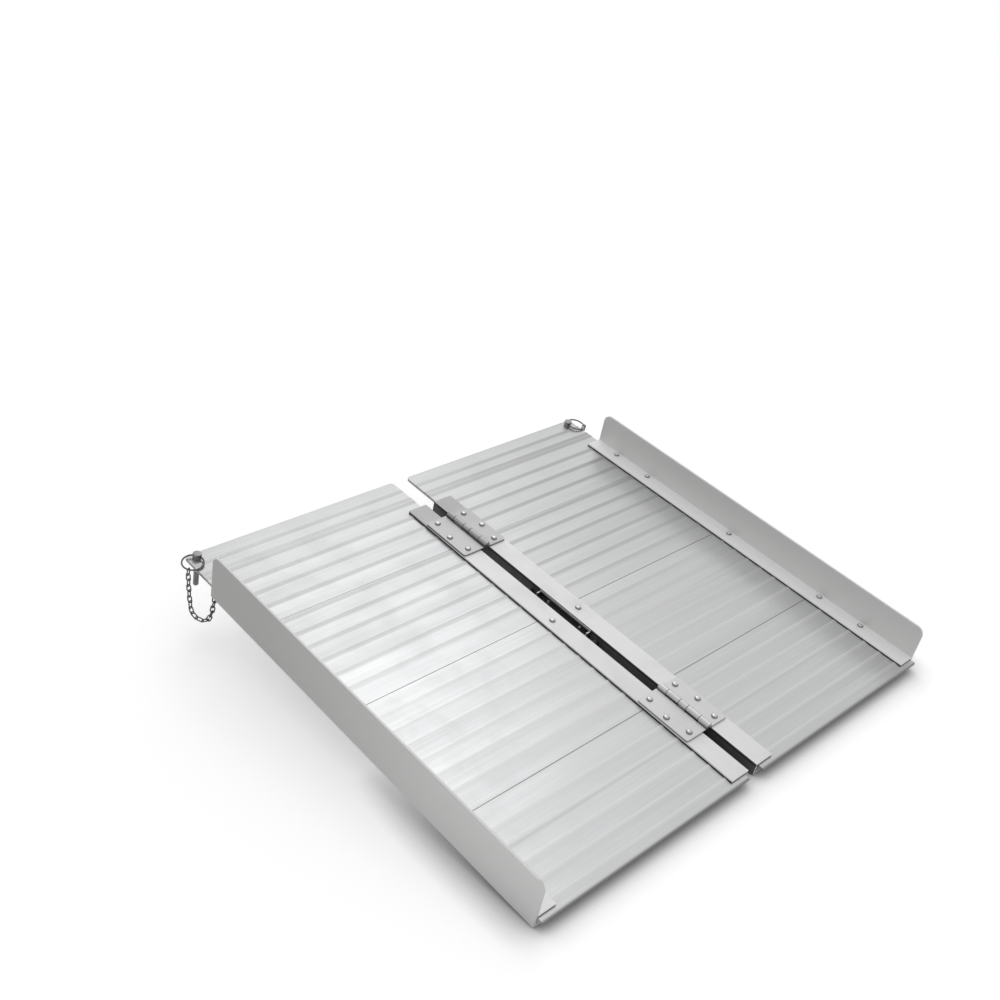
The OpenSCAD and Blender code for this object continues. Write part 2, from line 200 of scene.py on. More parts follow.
def startGroup(name, wanted, given):
    group = bpy.data.node_groups.new(name, "ShaderNodeTree")
    for label, kind, value in wanted:
        socket = group.interface.new_socket(label, in_out="INPUT", socket_type=kind)
        if value is not None:
            socket.default_value = value
    for label in given:
        group.interface.new_socket(label, in_out="OUTPUT", socket_type="NodeSocketFloat")
    return group, addNode(group, "NodeGroupInput").outputs, addNode(group, "NodeGroupOutput").inputs


# Shader groups: the die lines of drawn and rolled metal, and the marks of handling
def makeDrawnLines():
    group, given, out = startGroup("drawnLines", [
        ("Vector", "NodeSocketVector", None),
        ("Spacing", "NodeSocketFloat", 0.0012),
        ("Contrast", "NodeSocketFloat", 0.5),
    ], ["Shade", "Height"])
    fineScale = mathNode(group, "DIVIDE", 1.0, given["Spacing"])
    wideScale = mathNode(group, "MULTIPLY", fineScale, 0.13)
    fine = addNode(group, "ShaderNodeTexNoise", {
        "Vector": given["Vector"], "Scale": fineScale, "Detail": 3.0, "Roughness": 0.7,
    }).outputs[0]
    wide = addNode(group, "ShaderNodeTexNoise", {
        "Vector": given["Vector"], "Scale": wideScale, "Detail": 2.0, "Roughness": 0.5,
    }).outputs[0]
    both = mathNode(group, "ADD", product(group, fine, 0.55), product(group, wide, 0.45))
    shade = mathNode(group, "MULTIPLY", mathNode(group, "SUBTRACT", both, 0.5), given["Contrast"])
    group.links.new(mathNode(group, "ADD", shade, 0.5), out["Shade"])
    group.links.new(both, out["Height"])
    return group


def makeHandling():
    group, given, out = startGroup("handling", [
        ("Vector", "NodeSocketVector", None),
        ("Patch Size", "NodeSocketFloat", 0.08),
        ("Amount", "NodeSocketFloat", 0.5),
    ], ["Mask", "Scratches"])
    patchScale = mathNode(group, "DIVIDE", 1.0, given["Patch Size"])
    patches = addNode(group, "ShaderNodeTexNoise", {
        "Vector": given["Vector"], "Scale": patchScale, "Detail": 4.0, "Roughness": 0.6, "Distortion": 0.4,
    }).outputs[0]
    mask = mathNode(group, "MULTIPLY", rampNode(group, patches, 0.42, 0.68), given["Amount"])
    cells = addNode(group, "ShaderNodeTexVoronoi", {
        "Vector": given["Vector"], "Scale": mathNode(group, "MULTIPLY", patchScale, 7.0),
    }, feature="DISTANCE_TO_EDGE").outputs["Distance"]
    thin = mathNode(group, "SUBTRACT", 1.0, rampNode(group, cells, 0.0, 0.012))
    group.links.new(mask, out["Mask"])
    group.links.new(mathNode(group, "MULTIPLY", thin, mask), out["Scratches"])
    return group


drawnLines = makeDrawnLines()
handling = makeHandling()


# Finishes: grain is how much the pattern is squeezed along each axis, so a small value runs along it
finishes = {
    "deckAluminium": {
        "light": (0.79, 0.795, 0.80, 1), "dark": (0.55, 0.555, 0.56, 1),
        "worn": (0.64, 0.645, 0.65, 1), "rough": 0.33,
        "grain": (0.012, 1, 1), "spacing": 0.0022, "contrast": 1.5, "depth": 0.00001,
    },
    "railAluminium": {
        "light": (0.92, 0.92, 0.92, 1), "dark": (0.80, 0.80, 0.80, 1),
        "worn": (0.74, 0.74, 0.735, 1), "rough": 0.54,
        "grain": (1, 0.012, 1), "spacing": 0.0020, "contrast": 0.8, "depth": 0.00001,
    },
    "hingeZinc": {
        "light": (0.80, 0.80, 0.80, 1), "dark": (0.66, 0.66, 0.665, 1),
        "worn": (0.62, 0.62, 0.61, 1), "rough": 0.30,
        "grain": (1, 0.03, 1), "spacing": 0.0016, "contrast": 0.9, "depth": 0.00003,
    },
    "rivetAluminium": {
        "light": (0.86, 0.86, 0.86, 1), "dark": (0.70, 0.70, 0.70, 1),
        "worn": (0.60, 0.60, 0.60, 1), "rough": 0.16,
        "grain": (1, 1, 1), "spacing": 0.0016, "contrast": 0.7, "depth": 0.00003,
    },
    "pinSteel": {
        "light": (0.52, 0.52, 0.51, 1), "dark": (0.20, 0.20, 0.198, 1),
        "worn": (0.14, 0.137, 0.133, 1), "rough": 0.24,
        "grain": (1, 1, 0.05), "spacing": 0.0010, "contrast": 0.9, "depth": 0.00003,
    },
    "chainNickel": {
        "light": (0.30, 0.293, 0.285, 1), "dark": (0.10, 0.097, 0.094, 1),
        "worn": (0.07, 0.068, 0.065, 1), "rough": 0.26,
        "grain": (1, 1, 1), "spacing": 0.0012, "contrast": 1.0, "depth": 0.00003,
    },
}


# What all metals share: faint scratches, and how grain and handled patches change the roughness
wear = {
    "scratches": (0.35, grey(0.9)),
    "roughInGrain": -0.10,
    "roughMore": 0.05,
    "roughInPatches": 0.08,
    "grainBump": 0.6,
}


def startMetal(name):
    look = finishes[name]
    material = bpy.data.materials.new(name)
    material.use_nodes = True
    tree = material.node_tree
    place = addNode(tree, "ShaderNodeTexCoord").outputs["Object"]
    squeezed = addNode(tree, "ShaderNodeMapping", {"Vector": place, "Scale": look["grain"]}).outputs[0]
    lines = addNode(tree, "ShaderNodeGroup", node_tree=drawnLines)
    lines.inputs["Spacing"].default_value = look["spacing"]
    lines.inputs["Contrast"].default_value = look["contrast"]
    tree.links.new(squeezed, lines.inputs["Vector"])
    marks = addNode(tree, "ShaderNodeGroup", node_tree=handling)
    tree.links.new(place, marks.inputs["Vector"])
    colour = mixColour(tree, lines.outputs["Shade"], look["dark"], look["light"])
    colour = mixColour(tree, marks.outputs["Mask"], colour, look["worn"])
    colour = tint(tree, marks.outputs["Scratches"], colour, wear["scratches"])
    rough = scaleAndAdd(tree, lines.outputs["Shade"], wear["roughInGrain"], look["rough"] + wear["roughMore"])
    rough = scaleAndAdd(tree, marks.outputs["Mask"], wear["roughInPatches"], rough)
    bump = addNode(tree, "ShaderNodeBump", {
        "Height": lines.outputs["Height"], "Strength": wear["grainBump"], "Distance": look["depth"],
    })
    shader = tree.nodes["Principled BSDF"]
    shader.inputs["Metallic"].default_value = 1.0
    tree.links.new(rough, shader.inputs["Roughness"])
    tree.links.new(bump.outputs[0], shader.inputs["Normal"])
    return material, tree, place, colour, shader


def makeMetal(name):
    material, tree, place, colour, shader = startMetal(name)
    tree.links.new(colour, shader.inputs["Base Color"])
    return material


# The deck's ridges are rubbed bright on top and the seams are dark; painted shadow runs beside the rails'
# flanges, and painted shade lies in the seams' floors, on the faces below the top and on the nose's front
deckMarks = {
    "topFrom": (-0.0002, -0.0001),         # heights from the flat between the ridges
    "ridge": (0.0, 0.00012),
    "seamFloor": (-0.0016, -0.0014),
    "railShadowBeside": (0.0014, 0.0004),        # painted shadow beside a flange: distances from its free edge
    "railEnd": 0.0006,
    "seam": (-0.00055, 0.00025, 0.0003),   # where a seam's dark band starts and ends, and how soft it is
    "filled": (1.0, 1.0, 0.4),             # how dark the seams are, from the nose
    "seamsFrom": (0.03, 0.031),            # distances from the nose
    # painted shade on the nose's front face: distances from the nose
    "front": (0.0030, 0.0004),
    "polished": (0.45, 0.15),
    "farRidgeDarkening": (0.22, 0.60),
    "aged": (0.02, 0.62),
    # painted shade on the faces below the deck's top, near black on the seams' floors
    "underside": (0.58, 0.58, 0.585, 1),
    "seamShadeColour": grey(0.07),
    "polishedTone": (0.5, grey(0.90)),
    "farRidgeTone": (0.6, grey(0.36)),
    # painted shadow beside the flanges, and the dark seams
    "shadowAndJointTone": (0.92, grey(0.03)),
    "noseShadeTone": (0.75, grey(0.20)),
    "darkerToFarTone": (0.28, grey(0.30)),
}


def makeDeckMetal():
    material, tree, place, colour, shader = startMetal("deckAluminium")
    look = deckMarks
    axes = addNode(tree, "ShaderNodeSeparateXYZ", {0: place}).outputs
    out = mathNode(tree, "ABSOLUTE", axes["X"])
    # Painted shadow on the deck beside the flanges' free edges, along the rails; the seams are darkened too
    near, far = look["railShadowBeside"]
    shadowBesideInner = rampFrom(tree, out, flangeX[0], (near, far))
    shadowBesideOuter = rampFrom(tree, out, flangeX[1], (-near, -far))
    alongRails = bandNode(tree, axes["Y"], innerBox[0].y, innerBox[1].y, look["railEnd"])
    shadowAndDarkJoints = product(tree, mathNode(tree, "MAXIMUM", shadowBesideInner, shadowBesideOuter), alongRails)
    start, end, soft = look["seam"]
    for side, sign in sides.items():
        own = rampNode(tree, mathNode(tree, "MULTIPLY", axes["X"], sign), 0.0, 0.001)
        for y, filled in zip(seamsY[side], look["filled"]):
            seam = bandNode(tree, axes["Y"], y + start, y + end, soft)
            shadowAndDarkJoints = mathNode(tree, "MAXIMUM", shadowAndDarkJoints, product(tree, own, filled, seam))
    ridgeWearAndCurbLight = rampNode(tree, axes["Z"], flatZ, deckZ)
    polished = product(tree, ridgeWearAndCurbLight, rampFrom(tree, axes["Y"], noseY, look["polished"]))
    onRidge = rampFrom(tree, axes["Z"], flatZ, look["ridge"])
    # The ridge tops darken farther from the nose
    farRidgeDarkening = product(tree, onRidge, rampFrom(tree, axes["Y"], noseY, look["farRidgeDarkening"]))
    top = tint(tree, polished, colour, look["polishedTone"])
    top = tint(tree, farRidgeDarkening, top, look["farRidgeTone"])
    # Painted shadow beside the flanges, and the dark seams
    top = tint(tree, shadowAndDarkJoints, top, look["shadowAndJointTone"])
    # Painted shade on the faces below the deck's top, darkest on the seams' floors
    seamShade = product(tree, rampFrom(tree, axes["Z"], flatZ, look["seamFloor"]),
                     rampFrom(tree, axes["Y"], noseY, look["seamsFrom"]))
    under = mixColour(tree, seamShade, look["underside"], look["seamShadeColour"])
    shade = mixColour(tree, rampFrom(tree, axes["Z"], flatZ, look["topFrom"]), under, top)
    # Painted shade on the nose's front face
    shade = tint(tree, rampFrom(tree, axes["Y"], noseY, look["front"]), shade, look["noseShadeTone"])
    # The deck darkens towards the lip
    shade = tint(tree, rampFrom(tree, axes["Y"], noseY, look["aged"]), shade, look["darkerToFarTone"])
    tree.links.new(shade, shader.inputs["Base Color"])
    return material


# The curbs' upright sheets get painted shade, darkest on the outer face and lighter towards the nose; the
# outer flanges are more matte and painted lighter, and painted shadow lines their foot and the gap between
# the inner rails
railMarks = {
    "outerFace": (-0.0010, -0.0006),       # distances from the curb's outer face
    "innerFace": (-0.0003, 0.0),           # and from its inner face
    "flange": (-0.002, -0.001),            # from the outer flange's free edge
    "inGap": (0.0006, 0.0002),             # painted shade in the gap: distances from the inner rails' webs
    "innerRails": (0.10, 0.09),            # from the middle of the ramp
    "footAbove": (0.0011, 0.0007),         # painted shadow along the flanges' foot: heights from the ridges' tops
    "footBelow": (-0.0012, -0.0008),
    "aged": (-0.12, -0.02),                # distances from the inner rails' lip end
    "ridgeWearAndCurbLight": (0.60, 0.0),                 # painted light on the curb's outer face, rising towards the nose: distances from the nose
    "metallic": 0.5,                       # the oxide scatters about half of the light
    "flangeMetallic": -0.4,                # and on the outer flanges nearly all of it
    "flangeLitColour": grey(0.97),
    "curbShadeAtLip": (0.47, 0.467, 0.46, 1),
    "curbShadeAtNose": (0.78, 0.777, 0.77, 1),
    "darkerToFarTone": (0.5, grey(0.25)),
    "uprightShadeTone": (0.8, (0.72, 0.717, 0.71, 1)),
    "gapShadeTone": (0.85, grey(0.05)),
    "footShadowTone": (0.93, grey(0.02)),
    "curbShadeAmount": 0.9,
}


def makeRailMetal():
    material, tree, place, colour, shader = startMetal("railAluminium")
    look = railMarks
    axes = addNode(tree, "ShaderNodeSeparateXYZ", {0: place}).outputs
    out = mathNode(tree, "ABSOLUTE", axes["X"])
    upright = rampFrom(tree, out, outerBox[1].x - sheet, look["innerFace"])
    flat = mathNode(tree, "SUBTRACT", 1.0, upright)
    outside = rampFrom(tree, out, outerBox[1].x, look["outerFace"])
    inGap = rampFrom(tree, out, webX, look["inGap"])
    footShadow = product(tree, rampFrom(tree, axes["Z"], deckZ, look["footAbove"]),
                   rampFrom(tree, axes["Z"], deckZ, look["footBelow"]), flat)
    onFlange = product(tree, rampFrom(tree, out, flangeX[1], look["flange"]), flat)
    metallic = scaleAndAdd(tree, onFlange, look["flangeMetallic"], look["metallic"])
    tree.links.new(metallic, shader.inputs["Metallic"])
    # The inner rails darken towards their lip end
    aged = product(tree, rampFrom(tree, axes["Y"], innerBox[1].y, look["aged"]),
                   rampNode(tree, out, *look["innerRails"]))
    # Painted shade on the curb's outer face, lighter towards the nose
    ridgeWearAndCurbLight = rampFrom(tree, axes["Y"], noseY, look["ridgeWearAndCurbLight"])
    curbShade = mixColour(tree, ridgeWearAndCurbLight, look["curbShadeAtLip"], look["curbShadeAtNose"])
    shade = tint(tree, aged, colour, look["darkerToFarTone"])
    # The outer flanges are more matte, and painted light lightens them
    shade = mixColour(tree, onFlange, shade, look["flangeLitColour"])
    # Painted shade on the curbs' upright sheets
    shade = tint(tree, upright, shade, look["uprightShadeTone"])
    shade = tint(tree, outside, shade, (look["curbShadeAmount"], curbShade))
    # Painted shade in the gap between the inner rails
    shade = tint(tree, inGap, shade, look["gapShadeTone"])
    # Painted shadow along the flanges' foot
    shade = tint(tree, footShadow, shade, look["footShadowTone"])
    tree.links.new(shade, shader.inputs["Base Color"])
    return material


# The joints between the knuckles are dark; painted shadow lies at the foot of the barrel and along the
# leaves' lower edges, and painted shade on the bracket's plate in the gap
hingeMarks = {
    "joint": 0.0004,                       # half the width of a joint's dark band
    "soft": 0.0002,
    "aboveLeaf": (0.0, 0.0004),            # heights from a leaf's top
    "belowBarrel": (0.0004, 0.0002),
    "leafFoot": (-0.0003, 0.0009),         # painted shadow along the leaves' lower edges: heights from the flange's top
    "barrelFoot": ((-0.0026, -0.0008), (0.0078, 0.0092)),   # painted shadow at the barrel's foot: places across, on each side of it
    "belowDeck": (0.0, -0.001),            # heights from the ridges' tops
    "plateFace": (-0.0022, -0.0018),       # painted shade on the plate: distances from the plate's back
    "shadowAndJointTone": (0.9, grey(0.03)),
    "darkerToFarTone": (0.6, grey(0.25)),
}


def makeHingeMetal():
    material, tree, place, colour, shader = startMetal("hingeZinc")
    look, soft = hingeMarks, hingeMarks["soft"]
    axes = addNode(tree, "ShaderNodeSeparateXYZ", {0: place}).outputs
    flangeTop = deckZ + sheet
    leafTop = flangeTop + leafSheet
    joints = 0.0
    for box in leafBoxes:
        for share in knuckleJoints:
            y = box[0].y + share * (box[1].y - box[0].y)
            joint = bandNode(tree, axes["Y"], y - look["joint"], y + look["joint"], soft)
            joints = mathNode(tree, "MAXIMUM", joints, joint)
    joints = product(tree, joints, rampFrom(tree, axes["Z"], leafTop, look["aboveLeaf"]))
    footShadow = bandNode(tree, axes["Z"], flangeTop + look["leafFoot"][0], flangeTop + look["leafFoot"][1], soft)
    left, right = [bandNode(tree, axes["X"], low, high, soft) for low, high in look["barrelFoot"]]
    barrelFootShadow = product(tree, mathNode(tree, "ADD", left, right),
                     rampFrom(tree, axes["Z"], leafTop, look["belowBarrel"]))
    plateShade = product(tree, rampFrom(tree, axes["Z"], deckZ, look["belowDeck"]),
                    rampFrom(tree, axes["X"], bracketBox[1].x, look["plateFace"]))
    # Painted shadow at the leaves' and the barrel's foot, painted shade on the plate, and the dark knuckle
    # joints
    shadowAndDarkJoints = joints
    for mask in (footShadow, barrelFootShadow, plateShade):
        shadowAndDarkJoints = mathNode(tree, "MAXIMUM", shadowAndDarkJoints, mask)
    # The far leaves are darker than the near ones
    aged = rampNode(tree, axes["Y"], leafBoxes[0][1].y, leafBoxes[1][0].y)
    shade = tint(tree, aged, colour, look["darkerToFarTone"])
    shade = tint(tree, shadowAndDarkJoints, shade, look["shadowAndJointTone"])
    tree.links.new(shade, shader.inputs["Base Color"])
    return material


# Painted shade rings the rivets' rims, dark around a bright dome
def makeRivetMetal():
    material, tree, place, colour, shader = startMetal("rivetAluminium")
    rim = addNode(tree, "ShaderNodeAttribute", attribute_name="rim").outputs["Fac"]
    tree.links.new(tint(tree, rim, colour, (0.72, grey(0.06))), shader.inputs["Base Color"])
    return material


gripFinish = {
    "patches": 0.03,
    "grains": 2600.0,                      # per metre
    "colours": ((0.012, 0.012, 0.013, 1), (0.035, 0.035, 0.036, 1)),
    "rough": 0.30,
    "roughInGrains": 0.25,
}


def makeGripPlastic():
    material = bpy.data.materials.new("gripPlastic")
    material.use_nodes = True
    tree = material.node_tree
    place = addNode(tree, "ShaderNodeTexCoord").outputs["Object"]
    marks = addNode(tree, "ShaderNodeGroup", node_tree=handling)
    marks.inputs["Patch Size"].default_value = gripFinish["patches"]
    tree.links.new(place, marks.inputs["Vector"])
    grains = addNode(tree, "ShaderNodeTexNoise", {
        "Vector": place, "Scale": gripFinish["grains"], "Detail": 2.0,
    }).outputs[0]
    colour = mixColour(tree, marks.outputs["Mask"], *gripFinish["colours"])
    rough = scaleAndAdd(tree, grains, gripFinish["roughInGrains"], gripFinish["rough"])
    bump = addNode(tree, "ShaderNodeBump", {"Height": grains, "Strength": 0.35, "Distance": 0.00008})
    shader = tree.nodes["Principled BSDF"]
    tree.links.new(colour, shader.inputs["Base Color"])
    tree.links.new(rough, shader.inputs["Roughness"])
    tree.links.new(bump.outputs[0], shader.inputs["Normal"])
    return material


deckMetal, railMetal, gripPlastic = makeDeckMetal(), makeRailMetal(), makeGripPlastic()
hingeMetal, rivetMetal = makeHingeMetal(), makeRivetMetal()
pinMetal, chainMetal = makeMetal("pinSteel"), makeMetal("chainNickel")
print("materials made")


# Large flat faces set the normals at their soft edges, so that they stay flat in the light
def weighFaces(piece):
    weigh = piece.modifiers.new("weighFaces", "WEIGHTED_NORMAL")
    weigh.keep_sharp = True
    mesh = applyModifiers(piece)
    rough, piece.data = piece.data, mesh
    bpy.data.meshes.remove(rough)
    mesh.name = piece.name


# Finishing a piece: material, smooth faces, normals and body
def dressPiece(name, mesh, body, material, replaced, sharp=35):
    mesh.materials.clear()
    mesh.materials.append(material)
    mesh.shade_smooth()
    mesh.set_sharp_from_angle(angle=math.radians(sharp))
    piece = linkObject(name, mesh)
    weighFaces(piece)
    if body:
        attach(piece, body)
    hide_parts(*replaced)
    return piece


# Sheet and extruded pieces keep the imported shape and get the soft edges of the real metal, in metres
softEdges = {
    "plank": 0.00022,
    "inner_rail": 0.00045,
    "outer_rail": 0.00050,
    "leaf": 0.00035,
    "handle_bracket": 0.00030,
    "chain_tab": 0.00030,
    "hinge_pin": 0.00040,
    "handle_rod": 0.00040,
}


def soften(node, material):
    edge = next(value for start, value in softEdges.items() if node.startswith(start))
    bm = bmesh.new()
    bm.from_mesh(nodes[node].data)
    bmesh.ops.remove_doubles(bm, verts=bm.verts, dist=0.000002)
    bmesh.ops.dissolve_limit(bm, angle_limit=math.radians(0.4), verts=bm.verts, edges=bm.edges)
    corners = [e for e in bm.edges if len(e.link_faces) == 2 and e.calc_face_angle(0) > math.radians(28)]
    bmesh.ops.bevel(bm, geom=corners, offset=edge, segments=2, profile=0.5, affect="EDGES",
                    clamp_overlap=True)
    first, *words = node.split("_")
    name = first + "".join(word.capitalize() for word in words)
    dressPiece(name, meshFrom(bm, name), nodes[node]["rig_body"], material, [node])


for side in sides:
    for number in range(1, 5):
        soften(f"plank_{side}_{number}", deckMetal)
    soften("inner_rail_" + side, railMetal)
    soften("outer_rail_" + side, railMetal)
    soften(f"leaf_{side}_near", hingeMetal)
    soften(f"leaf_{side}_far", hingeMetal)
    soften("chain_tab_" + side, pinMetal)
soften("hinge_pin_near", pinMetal)
soften("hinge_pin_far", pinMetal)
soften("handle_bracket", hingeMetal)
soften("handle_rod", pinMetal)
print("panels and hinges made")


# Geometry Nodes: a tree's inputs are set by their identifiers before it is first evaluated
def startTree(name, wanted):
    tree = bpy.data.node_groups.new(name, "GeometryNodeTree")
    tree.interface.new_socket("Geometry", in_out="INPUT", socket_type="NodeSocketGeometry")
    for label, kind in wanted:
        tree.interface.new_socket(label, in_out="INPUT", socket_type=kind)
    tree.interface.new_socket("Geometry", in_out="OUTPUT", socket_type="NodeSocketGeometry")
    return tree, addNode(tree, "NodeGroupInput").outputs, addNode(tree, "NodeGroupOutput")


def endTree(tree, instances, material, out):
    real = addNode(tree, "GeometryNodeRealizeInstances", {0: instances}).outputs[0]
    coated = addNode(tree, "GeometryNodeSetMaterial", {"Geometry": real, "Material": material}).outputs[0]
    tree.links.new(coated, out.inputs[0])


def runTree(name, tree, points, values):
    carrier = linkObject(name + "Points", points)
    modifier = carrier.modifiers.new(tree.name, "NODES")
    modifier.node_group = tree
    for socket in tree.interface.items_tree:
        if socket.in_out == "INPUT" and socket.name in values:
            modifier[socket.identifier] = values[socket.name]
    mesh = applyModifiers(carrier)
    bpy.data.objects.remove(carrier)
    return mesh


def pointMesh(name, places, attributes):
    mesh = bpy.data.meshes.new(name)
    mesh.from_pydata([tuple(place) for place in places], [], [])
    for label, (kind, values) in attributes.items():
        attribute = mesh.attributes.new(label, kind, "POINT")
        if kind == "FLOAT_VECTOR":
            attribute.data.foreach_set("vector", [number for value in values for number in value])
        else:
            attribute.data.foreach_set("value", values)
    return mesh


# Rivets: a turned head, set on every point by a node tree
rivets = {
    "profile": [(0.0, 1.0), (0.20, 0.985), (0.42, 0.92), (0.64, 0.78), (0.82, 0.56), (0.93, 0.30),
                (0.99, 0.10), (1.0, 0.03), (0.985, 0.0)],
    "height": 0.63,                        # of a head, for a radius of 1
    "rimHeight": 0.36,                     # and of the painted shade at its rim
    "headRadius": 0.0045,
    "tailRadius": 0.0042,
    "bracketRadius": 0.0027,
    "fromWeb": 0.017,
    "middleFromWeb": 0.0227,               # the middle rivet of a leaf sits farther out
    "alongLeaf": (-0.39, 0.0, 0.40),       # shares of a leaf's length, from its middle
    "middleOfRail": 0.5328,                # share of the rail's length, from the nose
    "fromEdge": 0.011,                     # from the curb's outer face
    "alongCurb": (0.0816, 0.154, 0.325, 0.495, 0.563),   # distances from the rail's nose end
    "alongBracket": 0.62,                  # of the bracket's length, between its two rivets
    "bracketHeight": -0.001,
    "seed": 4,
}


def lathe(bm, profile, steps, bottom=True):
    rings = []
    for radius, height in profile:
        if radius == 0:
            rings.append([bm.verts.new((0, 0, height))])
            continue
        turn = [2 * math.pi * k / steps for k in range(steps)]
        rings.append([bm.verts.new((radius * math.cos(a), radius * math.sin(a), height)) for a in turn])
    for first, second in zip(rings, rings[1:]):
        for k in range(steps):
            corners = [first[k % len(first)], first[(k + 1) % len(first)],
                       second[(k + 1) % len(second)], second[k % len(second)]]
            bm.faces.new(list(dict.fromkeys(corners)))
    if bottom:
        bm.faces.new(rings[-1])


def makeRivetHead():
    bm = bmesh.new()
    lathe(bm, [(r, z * rivets["height"]) for r, z in rivets["profile"]], 28)
    bmesh.ops.recalc_face_normals(bm, faces=bm.faces)
    mesh = meshFrom(bm, "rivetHead")
    rim = mesh.attributes.new("rim", "FLOAT", "POINT")
    rim.data.foreach_set("value", [1.0 if vert.co.z < rivets["rimHeight"] else 0.0 for vert in mesh.vertices])
    mesh.shade_smooth()
    mesh.set_sharp_from_angle(angle=math.radians(50))
    return bpy.data.objects.new("rivetHead", mesh)


def makeRivetTree():
    tree, given, out = startTree("rivetRow", [
        ("Head", "NodeSocketObject"), ("Radius", "NodeSocketFloat"), ("Seed", "NodeSocketInt"),
        ("Finish", "NodeSocketMaterial"),
    ])
    head = addNode(tree, "GeometryNodeObjectInfo", {"Object": given["Head"]}).outputs["Geometry"]
    facing, share = namedValue(tree, "facing", "FLOAT_VECTOR"), namedValue(tree, "share", "FLOAT")
    spin = addNode(tree, "FunctionNodeRandomValue", {"Seed": given["Seed"]}, data_type="FLOAT")
    spin.inputs[3].default_value = 6.28        # a whole turn, in radians
    turned = addNode(tree, "ShaderNodeCombineXYZ", {"Z": spin.outputs[1]}).outputs[0]
    size = product(tree, share, given["Radius"])
    placed = addNode(tree, "GeometryNodeInstanceOnPoints", {
        "Points": given["Geometry"], "Instance": head, "Rotation": facing, "Scale": size,
    }).outputs[0]
    spun = addNode(tree, "GeometryNodeRotateInstances", {"Instances": placed, "Rotation": turned}).outputs[0]
    endTree(tree, spun, given["Finish"], out)
    return tree


rivetHead, rivetTree = makeRivetHead(), makeRivetTree()


def rivetPoints(side):
    sign, upper, lower = sides[side], (0.0, 0.0, 0.0), (math.pi, 0.0, 0.0)
    tailShare = rivets["tailRadius"] / rivets["headRadius"]
    railTop, railLow = deckZ + sheet, outerBox[0].z
    leafTop = railTop + leafSheet
    spots = []
    for low, high in leafBoxes:
        middle, length = (low.y + high.y) / 2, high.y - low.y
        for k, share in enumerate(rivets["alongLeaf"]):
            x = webX + (rivets["middleFromWeb"] if k == 1 else rivets["fromWeb"])
            spots.append((x, middle + share * length, leafTop))
    railY = innerBox[0].y + rivets["middleOfRail"] * (innerBox[1].y - innerBox[0].y)
    spots.append((webX + rivets["fromWeb"], railY, railTop))
    for y in rivets["alongCurb"]:
        spots.append((outerBox[1].x - rivets["fromEdge"], outerBox[0].y + y, railTop))
    places = [Vector((sign * x, y, z)) for x, y, z in spots]
    places += [Vector((sign * x, y, railLow)) for x, y, z in spots]
    facings = [upper] * len(spots) + [lower] * len(spots)
    shares = [1.0] * len(spots) + [tailShare] * len(spots)
    return pointMesh("rivetPoints", places, {"facing": ("FLOAT_VECTOR", facings), "share": ("FLOAT", shares)})


def rivetPiece(name, points, body, replaced):
    mesh = runTree(name, rivetTree, points, {
        "Head": rivetHead, "Radius": rivets["headRadius"], "Seed": rivets["seed"], "Finish": rivetMetal,
    })
    dressPiece(name, mesh, body, rivetMetal, replaced, sharp=50)


def bracketPoints():
    (low, high), share = bracketBox, rivets["bracketRadius"] / rivets["headRadius"]
    middle, half = (low.y + high.y) / 2, (high.y - low.y) * rivets["alongBracket"] / 2
    places, facings = [], []
    for y in (middle - half, middle + half):
        places += [(x, y, rivets["bracketHeight"]) for x in (webX - bracketSheet, webX + sheet)]
        facings += [(0.0, -math.pi / 2, 0.0), (0.0, math.pi / 2, 0.0)]
    return pointMesh("bracketPoints", places, {
        "facing": ("FLOAT_VECTOR", facings), "share": ("FLOAT", [share] * len(places)),
    })


for side in sides:
    held = ["inner_rivets_" + side, "outer_rivets_" + side]
    rivetPiece("rivets" + side.capitalize(), rivetPoints(side), side + "_panel", held)
rivetPiece("rivetsBracket", bracketPoints(), "right_panel", ["bracket_rivets"])
print("rivets set")


# Chains: a link's place along the chain's plane and its height in millimetres, and its slope in degrees,
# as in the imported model's source
chains = {
    "start": (0.37385, 0.0074),            # under the ring's far side, across and up the slope
    "deckTop": 0.005,
    "turn": -117.25,                       # of the chain's plane, in degrees
    "path": [(0, -3.25, -90), (0.3, -12.2, -86), (1, -21.2, -86), (1.7, -30.2, -85), (2.6, -39.1, -84),
             (3.7, -48.1, -82), (5, -57, -80), (7, -65.7, -74), (11.8, -72.9, -39), (19.8, -76, -4),
             (28.1, -74, 31), (33.8, -67.5, 66), (36.5, -59, 79), (38, -50.1, 82), (39.1, -41.2, 84),
             (40, -32.3, 85), (40.8, -23.3, 85), (41.2, -14.3, 90)],
    "linkLength": 0.0132,
    "linkWidth": 0.0076,
    "wire": 0.0018,
}


